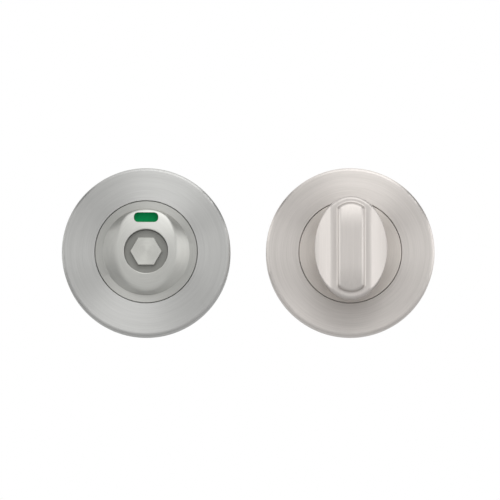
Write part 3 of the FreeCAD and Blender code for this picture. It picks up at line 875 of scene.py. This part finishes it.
@dataclass(frozen=True)
class DomedHousing(StandIn):
    """The release half's housing: a round boss that rises to a crowned oval front with soft shoulders.

    Every size is in millimetres, and levels are measured from the back of the cast base.

    Attributes:
        foot_radius: Radius of the boss where it leaves the plate.
        plate_radius: Radius of the plate in the rose.
        plate_level: Level of the plate's face.
        plate_chamfer: Size of the chamfer round it.
        top_level: Level of the front in its middle.
        half_width: From the axis to the side of the oval front.
        half_length: Half the oval's length.
        shift: How far the oval stands above the axis.
        draft: How far the front stays inside the foot where it is cut off.
        sharpness: How sharply the oval meets that cut.
        crown_up: Radius of the front's crown, up and down.
        crown_across: Radius of its crown from side to side.
        slope_rings: Rings of faces on the slope.
        front_rings: Rings of faces on the front.
        soft_rings: Rings on each side of the oval's edge that are smoothed.
        soft_passes: How many times they are smoothed.
        soft_share: How far each pass moves them.
        recess_radius: Radius of the round recess.
        recess_round: Rounding of its rim.
        recess_angles: Angles round that rounding where it has a ring of faces, in degrees.
        roof_level: Level of the roof over the disc.
        roof_corner: Size of the roof's corner.
        cavity_radius: Radius of the space for the disc.
        flange_radius: Radius of the flange behind the rose.
        flange_low: Level of the flange's back.
        flange_high: Level of its front.
        ear_offset: From the axis to each screw ear.
        ear_radius: Radius of an ear.
        ear_bore: Radius of its screw hole.
        ear_sink: Depth of the countersink in it.
        ear_steps: Faces round it.
        lug_width: Width of the lug that stops the disc.
        lug_reach: How far it stands out into the space for the disc.
        lug_root: How deep it is set in the wall.
        window_width: Width of the indicator window.
        window_height: Its height.
        window_corner: Radius of its corners.
        window_steps: Faces round a corner.
        window_offset: From the axis to its middle.
        window_margin: How far what cuts it stands out of the front.
    """

    slot: str = "brushed_centre"
    ending: str = "domed"
    steps: int = 180
    foot_radius: float = 13.4
    plate_radius: float = 15.7
    plate_level: float = 8.0
    plate_chamfer: float = 0.12
    top_level: float = 10.95
    half_width: float = 9.4
    half_length: float = 13.7
    shift: float = 1.3
    draft: float = 0.3
    sharpness: float = 24.0
    crown_up: float = 62.0
    crown_across: float = 200.0
    slope_rings: int = 16
    front_rings: int = 20
    soft_rings: int = 10
    soft_passes: int = 30
    soft_share: float = 0.5
    recess_radius: float = 6.75
    recess_round: float = 0.2
    recess_angles: tuple[float, ...] = (30.0, 60.0, 90.0)
    roof_level: float = 8.2
    roof_corner: float = 0.5
    cavity_radius: float = 12.8
    flange_radius: float = 14.9
    flange_low: float = 5.2
    flange_high: float = 6.5
    ear_offset: float = 18.2
    ear_radius: float = 2.8
    ear_bore: float = 1.3
    ear_sink: float = 0.95
    ear_steps: int = 32
    lug_width: float = 2.0
    lug_reach: float = 1.6
    lug_root: float = 0.3
    window_width: float = 7.5
    window_height: float = 3.05
    window_corner: float = 1.3
    window_steps: int = 8
    window_offset: float = 10.525
    window_margin: float = 1.0

    def model(self) -> BMesh:
        """Models the housing.

        Returns:
            Boss, plate and flange as one closed shape with the window cut through, and ears and lug.
        """
        shape = bmesh.new()
        foot = bmesh.ops.create_circle(
            shape, cap_ends=False, radius=self.foot_radius, segments=self.steps
        )["verts"]
        bmesh.ops.translate(shape, verts=foot, vec=(0.0, 0.0, self.plate_level))
        rings = [foot]
        for ring in range(1, self.slope_rings + 1):
            share = ring / self.slope_rings
            rings.append(self.raise_ring(shape, lambda turn: self.on_slope(turn, share)))
        for ring in range(1, self.front_rings + 1):
            share = ring / self.front_rings
            rings.append(self.raise_ring(shape, lambda turn: self.on_front(turn, share)))
        soft = rings[self.slope_rings - self.soft_rings:self.slope_rings + self.soft_rings]
        soft_verts = [vert for ring in soft for vert in ring]
        for _ in range(self.soft_passes):
            bmesh.ops.smooth_vert(
                shape, verts=soft_verts, factor=self.soft_share,
                use_axis_x=True, use_axis_y=True, use_axis_z=True,
            )
        for angle in self.recess_angles:
            out = self.recess_round * (1.0 - math.sin(math.radians(angle)))
            down = self.recess_round * (1.0 - math.cos(math.radians(angle)))
            self.raise_ring(shape, lambda turn: self.in_recess(turn, out, down))
        inside = (
            (self.recess_radius, self.roof_level),
            (self.cavity_radius - self.roof_corner, self.roof_level),
            (self.cavity_radius, self.roof_level - self.roof_corner),
            (self.cavity_radius, self.flange_low),
            (self.flange_radius, self.flange_low),
            (self.flange_radius, self.flange_high),
            (self.plate_radius, self.flange_high),
            (self.plate_radius, self.plate_level - self.plate_chamfer),
            (self.plate_radius - self.plate_chamfer, self.plate_level),
            (self.foot_radius, self.plate_level),
        )
        for radius, level in inside:
            self.raise_ring(shape, lambda turn: (radius, level))
        bmesh.ops.remove_doubles(shape, verts=shape.verts, dist=WELD_MM)
        shape = carve(shape, self.window())
        self.add_ears(shape)
        self.add_lug(shape)
        return shape

    def raise_ring(
        self, shape: BMesh, place: Callable[[float], tuple[float, float]]
    ) -> list[BMVert]:
        """Extrudes the last ring into a new one.

        Args:
            shape: The housing's mesh, whose newest ring is its last vertices.
            place: The new ring's radius and level at each angle.

        Returns:
            The new ring's vertices.
        """
        shape.verts.ensure_lookup_table()
        last = set(shape.verts[-self.steps:])
        near = {edge for vert in last for edge in vert.link_edges}
        edges = sorted((edge for edge in near if set(edge.verts) <= last), key=lambda edge: edge.index)
        raised = bmesh.ops.extrude_edge_only(shape, edges=edges)["geom"]
        ring = [item for item in raised if isinstance(item, BMVert)]
        for vert in ring:
            turn = math.atan2(vert.co.y, vert.co.x)
            radius, level = place(turn)
            vert.co = Vector((radius * math.cos(turn), radius * math.sin(turn), level))
        return ring

    def finish_at(self, radius: float, level: float) -> int:
        """Gives the plate round the boss its own finish, whose darker colour is painted shade from the boss.
        """
        return int(radius > self.foot_radius)

    def front_reach(self, turn: float) -> float:
        """Finds how far the front reaches from the axis: an oval, cut off near the foot.

        Args:
            turn: The angle round the axis, in radians.

        Returns:
            The reach, in millimetres.
        """
        across, up = math.cos(turn) / self.half_width, math.sin(turn) / self.half_length
        shift = self.shift / self.half_length
        squared = across ** 2 + up ** 2
        oval = (up * shift + math.sqrt((up * shift) ** 2 + squared * (1 - shift ** 2))) / squared
        cut = self.foot_radius - self.draft
        return (oval ** -self.sharpness + cut ** -self.sharpness) ** (-1 / self.sharpness)

    def crown_level(self, turn: float, radius: float) -> float:
        """Finds the crowned front's level at an angle and radius."""
        across, up = radius * math.cos(turn), radius * math.sin(turn)
        return self.top_level - across ** 2 / (2 * self.crown_across) - up ** 2 / (2 * self.crown_up)

    def on_slope(self, turn: float, share: float) -> tuple[float, float]:
        """Finds a place on the slope.

        Args:
            turn: The angle round the axis, in radians.
            share: 0 at the slope's foot and 1 at the oval's edge.

        Returns:
            Its radius and level, in millimetres.
        """
        reach = self.front_reach(turn)
        rise = self.crown_level(turn, reach) - self.plate_level
        return self.foot_radius + (reach - self.foot_radius) * share, self.plate_level + rise * share

    def on_front(self, turn: float, share: float) -> tuple[float, float]:
        """Finds a place on the front.

        Args:
            turn: The angle round the axis, in radians.
            share: 0 at the oval's edge and 1 at the recess.

        Returns:
            Its radius and level, in millimetres.
        """
        reach = self.front_reach(turn)
        radius = reach + (self.recess_radius + self.recess_round - reach) * share
        return radius, self.crown_level(turn, radius)

    def in_recess(self, turn: float, out: float, down: float) -> tuple[float, float]:
        """Finds a place on the rounded rim of the recess."""
        radius = self.recess_radius + out
        return radius, self.crown_level(turn, self.recess_radius + self.recess_round) - down

    def window(self) -> BMesh:
        """Models the space of the indicator window.

        Returns:
            A block with round corners that reaches through the roof.
        """
        cutter = bmesh.new()
        low, high = self.roof_level - 2 * self.roof_corner, self.top_level + self.window_margin
        add_block(
            cutter, (self.window_width, self.window_height, high - low),
            (0.0, self.window_offset, (high + low) / 2),
        )
        upright = [edge for edge in cutter.edges if abs(edge.verts[0].co.z - edge.verts[1].co.z) > WELD_MM]
        bmesh.ops.bevel(
            cutter, geom=upright, offset=self.window_corner, offset_type="OFFSET",
            segments=self.window_steps, profile=0.5, affect="EDGES", material=-1,
        )
        return cutter

    def add_ears(self, shape: BMesh) -> None:
        """Adds the two screw ears of the flange, each on its bridge, which the rose hides.

        Args:
            shape: The housing's mesh.
        """
        root, end = self.foot_radius, self.ear_offset - (self.ear_radius + self.ear_bore) / 2
        level, thickness = (self.flange_low + self.flange_high) / 2, self.flange_high - self.flange_low
        for side in (-1.0, 1.0):
            ear = bmesh.new()
            turn_profile(ear, [
                (self.ear_bore, self.flange_low),
                (self.ear_radius, self.flange_low),
                (self.ear_radius, self.flange_high),
                (self.ear_bore + self.ear_sink, self.flange_high),
                (self.ear_bore, self.flange_high - self.ear_sink),
                (self.ear_bore, self.flange_low),
            ], self.ear_steps)
            bmesh.ops.translate(ear, verts=ear.verts, vec=(side * self.ear_offset, 0.0, 0.0))
            size = (end - root, 2 * self.ear_radius, thickness)
            add_block(ear, size, (side * (root + end) / 2, 0.0, level))
            pour(ear, shape)

    def add_lug(self, shape: BMesh) -> None:
        """Adds the lug inside the boss that stops the indicator disc.

        Args:
            shape: The housing's mesh.
        """
        deep = self.lug_reach + self.lug_root
        middle = self.cavity_radius + self.lug_root - deep / 2
        add_block(
            shape, (self.lug_width, deep, self.roof_level - self.flange_high),
            (0.0, -middle, (self.roof_level + self.flange_high) / 2),
        )


@dataclass
class Half:
    """One round half of the lock.

    Attributes:
        axis: A point on its spindle axis.
        finishes: The finish of each of its nodes.
        stand_ins: The pieces that are modelled anew.
    """

    axis: Vector
    finishes: dict[str, BrushedSteel | Granular | tuple[BrushedSteel, ...]] = field(default_factory=dict)
    stand_ins: dict[str, StandIn] = field(default_factory=dict)

    def build(self) -> None:
        """Dresses each node or models its stand-in, with one material for each finish."""
        made: dict[str, Material] = {}
        for node, chosen in self.finishes.items():
            finishes = chosen if isinstance(chosen, tuple) else (chosen,)
            for finish in finishes:
                if finish.name not in made:
                    made[finish.name] = finish.material(self.axis)
            if node in self.stand_ins:
                self.stand_ins[node].build(node, [made[finish.name] for finish in finishes])
            else:
                dress(node, made[finishes[0].name])


TURN_HALF = Half(TURN_AXIS, {
    "turn_cover": WARM_PAINTED_LIGHT_ROSE_FINISH,
    "turn_base": BASE_FINISH,
    "turn_centre_plate": CENTRE_FINISH,
    "turn_bush": NYLON_FINISH,
    "turn_snap_ring": SPRING_FINISH,
    "turn_screw_left": SCREW_FINISH,
    "turn_screw_right": SCREW_FINISH,
    "turn_bolt_upper": SCREW_FINISH,
    "turn_bolt_lower": SCREW_FINISH,
    "thumb_turn": TURN_FINISH,
    "spindle": SPINDLE_FINISH,
    "grub_screw": SPRING_FINISH,
    "turn_circlip": SPRING_FINISH,
    "turn_spring_washer": SPRING_FINISH,
}, {"turn_bolt_upper": ThroughBolt(), "turn_bolt_lower": ThroughBolt()})
RELEASE_HALF = Half(RELEASE_AXIS, {
    "release_cover": ROSE_FINISH,
    "release_base": BASE_FINISH,
    "release_housing": (HOUSING_FINISH, SHADED_PLATE_FINISH),
    "release_bush": NYLON_FINISH,
    "release_snap_ring": SPRING_FINISH,
    "release_screw_left": SCREW_FINISH,
    "release_screw_right": SCREW_FINISH,
    "release_post_upper": SCREW_FINISH,
    "release_post_lower": SCREW_FINISH,
    "release_hub": HUB_FINISH,
    "indicator_disc": SHEET_FINISH,
    "vacant_label": GREEN_FINISH,
    "engaged_label": RED_FINISH,
    "release_circlip": SPRING_FINISH,
    "release_spring_washer": SPRING_FINISH,
}, {
    "release_housing": DomedHousing(),
    "release_post_upper": ThreadedPost(),
    "release_post_lower": ThreadedPost(),
})


@dataclass
class Studio:
    """Floor, background, lamps and camera.

    Attributes:
        floor_level: Height of the floor, in metres.
        floor_width: Side of the square floor.
        floor_colour: Its pale matt paint.
        card_colour: The black cards' paint.
        fill_strength: How bright the world is as a light, where its look is 1.
        view_target: The point in the middle of the picture.
        view_elevation: The camera's angle above the horizon, in degrees.
        view_distance: From the camera to the target, in metres.
        view_width: What the picture spans at the target, in metres.
        sensor_width: Width of the camera's sensor, in millimetres.
        lamp_distance: From each lamp to the target, in metres.
        flag_distance: From each large black card to the target, in metres.
        left_flag_offset: From the target to the small card beside the outside rose.
        sight: How far the camera sees, in metres.
    """

    floor_level: float = -0.30
    floor_width: float = 6.0
    floor_colour: str = "#f2f2f2"
    card_colour: str = "#161616"
    fill_strength: float = 0.55
    view_target: Vector = field(default_factory=lambda: Vector((-0.0309, -0.008, 0.00055)))
    view_elevation: float = -5.3
    view_distance: float = 2.0
    view_width: float = 0.154
    sensor_width: float = 36.0
    lamp_distance: float = 2.0
    flag_distance: float = 0.8
    left_flag_offset: Vector = field(default_factory=lambda: Vector((-0.082, -0.013, -0.009)))
    sight: float = 50.0

    def build(self) -> None:
        """Builds the whole studio."""
        self.lay_floor()
        self.fill_background()
        self.hang_lamp("top_lamp", clock=14.0, spread=44.0, width=1.4, height=1.2, brightness=2.2)
        self.hang_lamp("left_lamp", clock=-85.0, spread=77.0, width=0.8, height=1.6, brightness=2.4)
        self.hang_lamp("right_lamp", clock=84.0, spread=68.0, width=0.8, height=1.6, brightness=2.1)
        card = matt("black_card", self.card_colour)
        upper_left = self.towards(clock=-48.0, spread=80.0) * self.flag_distance
        upper_right = self.towards(clock=51.0, spread=80.0) * self.flag_distance
        self.stand_flag("upper_left_flag", upper_left, width=0.23, length=1.1, card=card)
        self.stand_flag("upper_right_flag", upper_right, width=0.34, length=1.1, card=card)
        self.stand_flag("left_flag", self.left_flag_offset, width=0.068, length=0.012, card=card)
        self.place_camera()

    def lay_floor(self) -> None:
        """Lays a plain pale floor well below the lock."""
        place = Matrix.Translation((0.0, 0.0, self.floor_level))
        paint = matt("pale_floor", self.floor_colour)
        add_sheet("floor", (self.floor_width, self.floor_width), place, paint)

    def fill_background(self) -> None:
        """Lights the world softly, and shows it white to the eye, to metal and through glass."""
        world = bpy.data.worlds.new("studio")
        bpy.context.scene.world = world
        world.use_nodes = True
        tree = world.node_tree
        tree.nodes.clear()
        rays = add_node(tree, "ShaderNodeLightPath")
        seen = calculate(tree, "MAXIMUM", rays.outputs["Is Camera Ray"], rays.outputs["Is Glossy Ray"])
        seen = calculate(tree, "MAXIMUM", seen, rays.outputs["Is Transmission Ray"])
        light, white = (
            add_node(tree, "ShaderNodeBackground", {"Color": linear("#ffffff"), "Strength": strength})
            for strength in (self.fill_strength, 1.0)
        )
        mixed = add_node(tree, "ShaderNodeMixShader", {0: seen, 1: light.outputs[0], 2: white.outputs[0]})
        add_node(tree, "ShaderNodeOutputWorld", {"Surface": mixed.outputs[0]})

    def towards(self, clock: float, spread: float) -> Vector:
        """Finds the direction of a lamp or card from the lock.

        Args:
            clock: Its place round the lock's axes, in degrees clockwise from the top.
            spread: Its angle from straight in front of the lock, in degrees.

        Returns:
            The direction, one metre long.
        """
        turn, opened = math.radians(clock), math.radians(spread)
        aside = Vector((math.sin(turn), 0.0, math.cos(turn)))
        return aside * math.sin(opened) + Vector((0.0, -1.0, 0.0)) * math.cos(opened)

    def hang_lamp(
        self, name: str, clock: float, spread: float, width: float, height: float, brightness: float
    ) -> None:
        """Hangs a soft square lamp that faces the lock.

        Args:
            name: The lamp's name.
            clock: Its place round the lock's axes, in degrees clockwise from the top.
            spread: Its angle from straight in front of the lock, in degrees.
            width: Its width, in metres.
            height: Its height, in metres.
            brightness: How bright its face is, where 1 is white.
        """
        offset = self.towards(clock, spread) * self.lamp_distance
        light = bpy.data.lights.new(name, "AREA")
        light.shape = "RECTANGLE"
        light.size = width
        light.size_y = height
        light.energy = brightness * math.pi * width * height
        lamp = add_object(name, light)
        lamp.location = self.view_target + offset
        lamp.rotation_euler = (-offset).to_track_quat("-Z", "Y").to_euler()

    def stand_flag(
        self, name: str, offset: Vector, width: float, length: float, card: Material
    ) -> None:
        """Stands a black card that shades part of the light, out of the camera's sight.

        Args:
            name: The card's name.
            offset: Its middle from the view's target, in metres.
            width: Its width across its offset, in metres.
            length: Its length along the lock's front to back, in metres.
            card: Its black face.
        """
        facing = offset.normalized()
        across = Vector((0.0, 1.0, 0.0)).cross(facing).normalized()
        turned = Matrix((across, facing.cross(across), facing)).transposed()
        place = Matrix.Translation(self.view_target + offset) @ turned.to_4x4()
        add_sheet(name, (width, length), place, card, seen=False)

    def place_camera(self) -> None:
        """Places the camera at the photograph's angle."""
        data = bpy.data.cameras.new("camera")
        data.sensor_width = self.sensor_width
        data.lens = self.sensor_width * self.view_distance / self.view_width
        data.clip_end = self.sight
        camera = add_object("camera", data)
        rise = math.radians(self.view_elevation)
        back = Vector((0.0, -math.cos(rise), math.sin(rise)))
        camera.location = self.view_target + back * self.view_distance
        camera.rotation_euler = (-back).to_track_quat("-Z", "Y").to_euler()
        bpy.context.scene.camera = camera


def main() -> None:
    """Builds the lock's finishes and the studio."""
    logging.basicConfig(level=logging.INFO, format="%(name)s: %(message)s")
    bpy.context.scene.view_settings.view_transform = "Standard"
    TURN_HALF.build()
    RELEASE_HALF.build()
    Studio().build()


if __name__ == "__main__":
    main()
